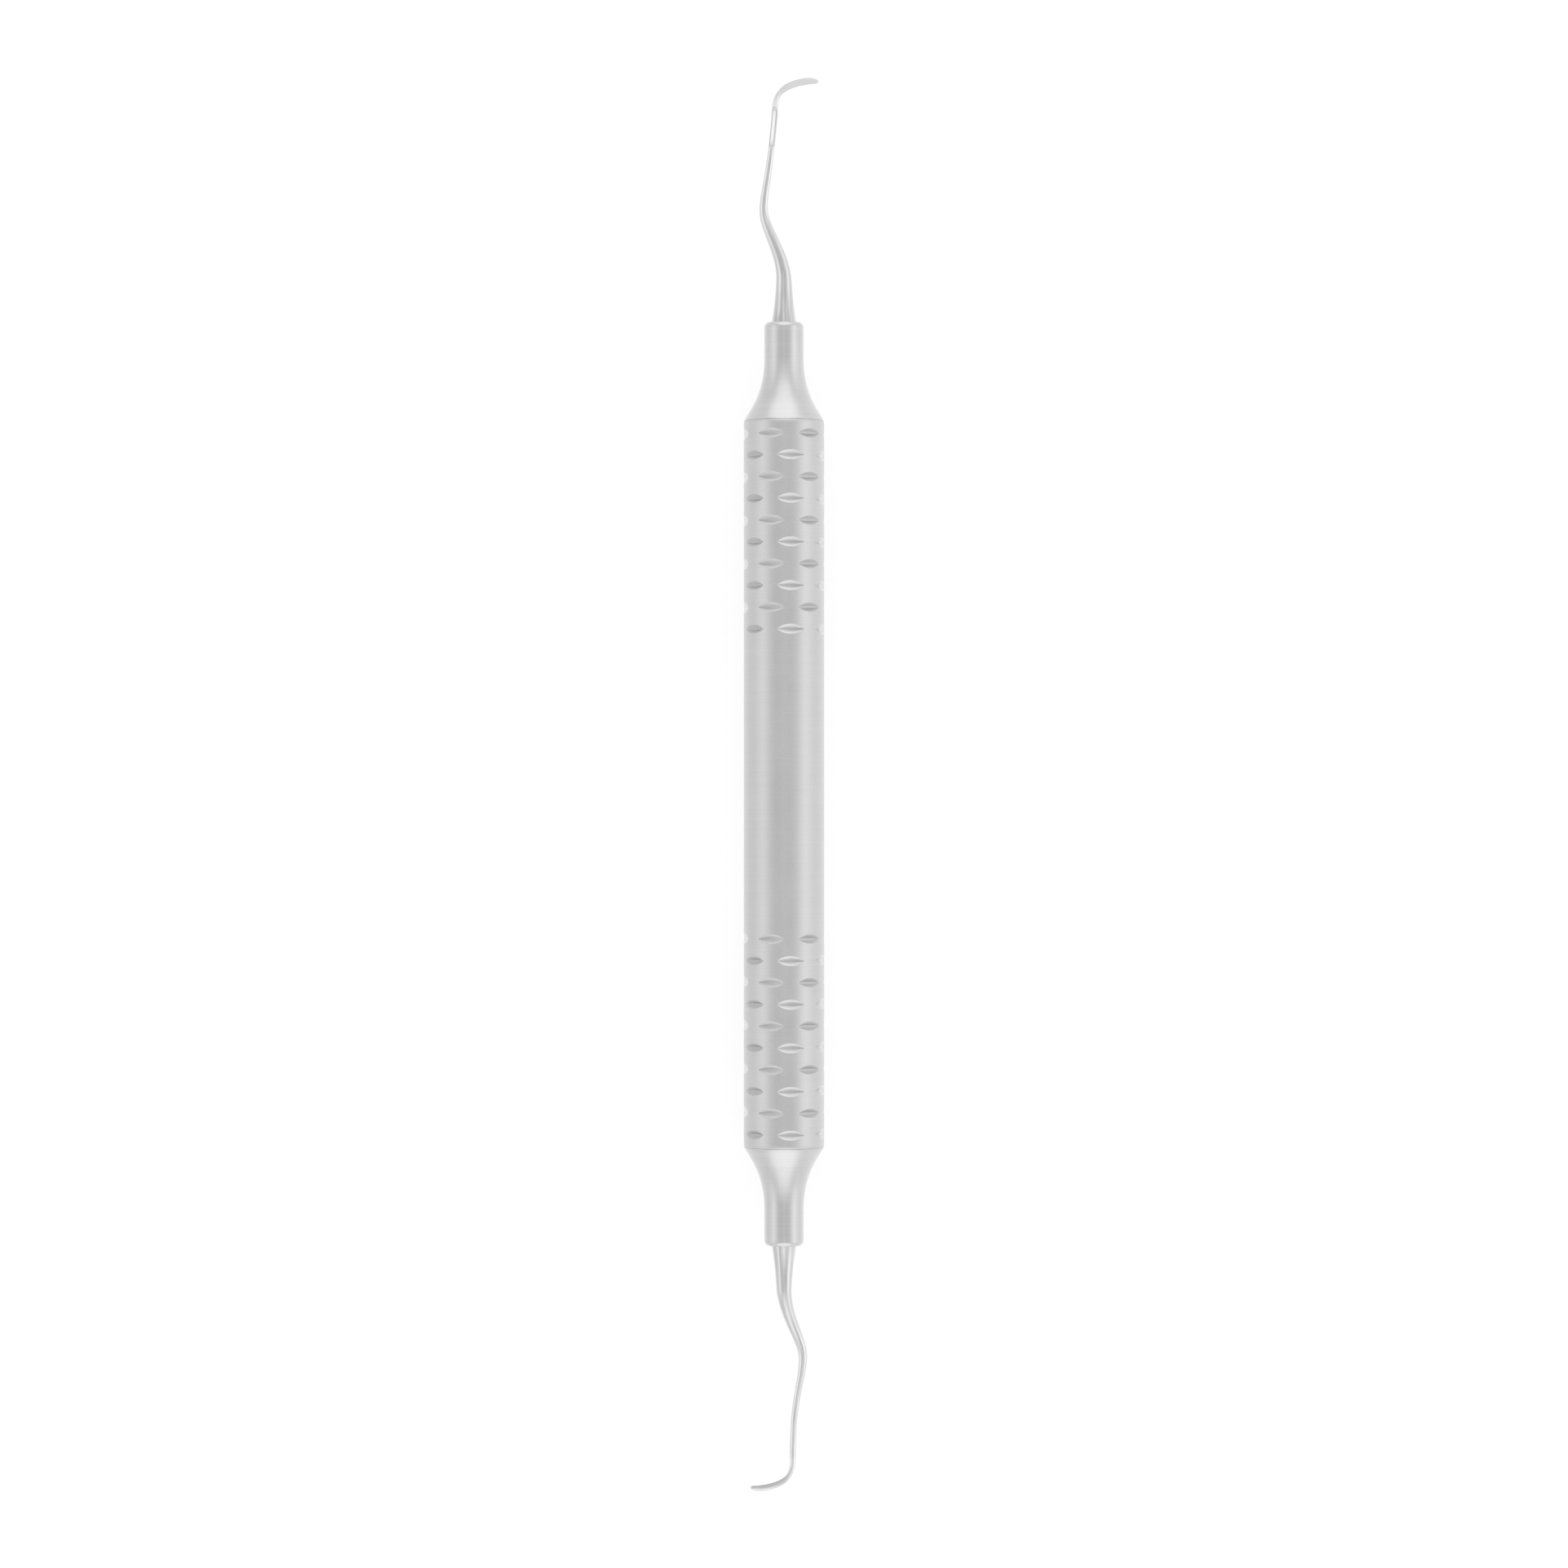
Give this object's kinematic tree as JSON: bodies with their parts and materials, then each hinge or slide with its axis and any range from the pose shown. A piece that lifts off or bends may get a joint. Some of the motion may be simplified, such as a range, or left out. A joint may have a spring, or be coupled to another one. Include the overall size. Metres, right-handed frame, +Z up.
{
  "type": "hand scaler",
  "caption": "Double-ended dental hand scaler: hollow round handle with cut grip zones, tapered end cones and a mirrored pair of bent shanks with hooked blades.",
  "frame": {"origin": "under the middle of the handle, on the surface that the lowest facet of the handle rests on", "axes": "+X along the handle towards working_end_a, +Z up from the surface it lies on, +Y across; working_end_a hooks towards -Y and working_end_b towards +Y"},
  "size_m": [0.1756, 0.01, 0.01],
  "materials": {
    "handle_steel": "bead-blasted satin stainless steel with fine turning lines",
    "cone_steel": "fine-turned satin stainless steel",
    "tip_steel": "ground and polished hardened stainless steel"
  },
  "bodies": {
    "root": {"handle_tube": "handle_steel", "end_cone_a": "cone_steel", "end_cone_b": "cone_steel", "working_end_a": "tip_steel", "working_end_b": "tip_steel"}
  },
  "joints": []
}
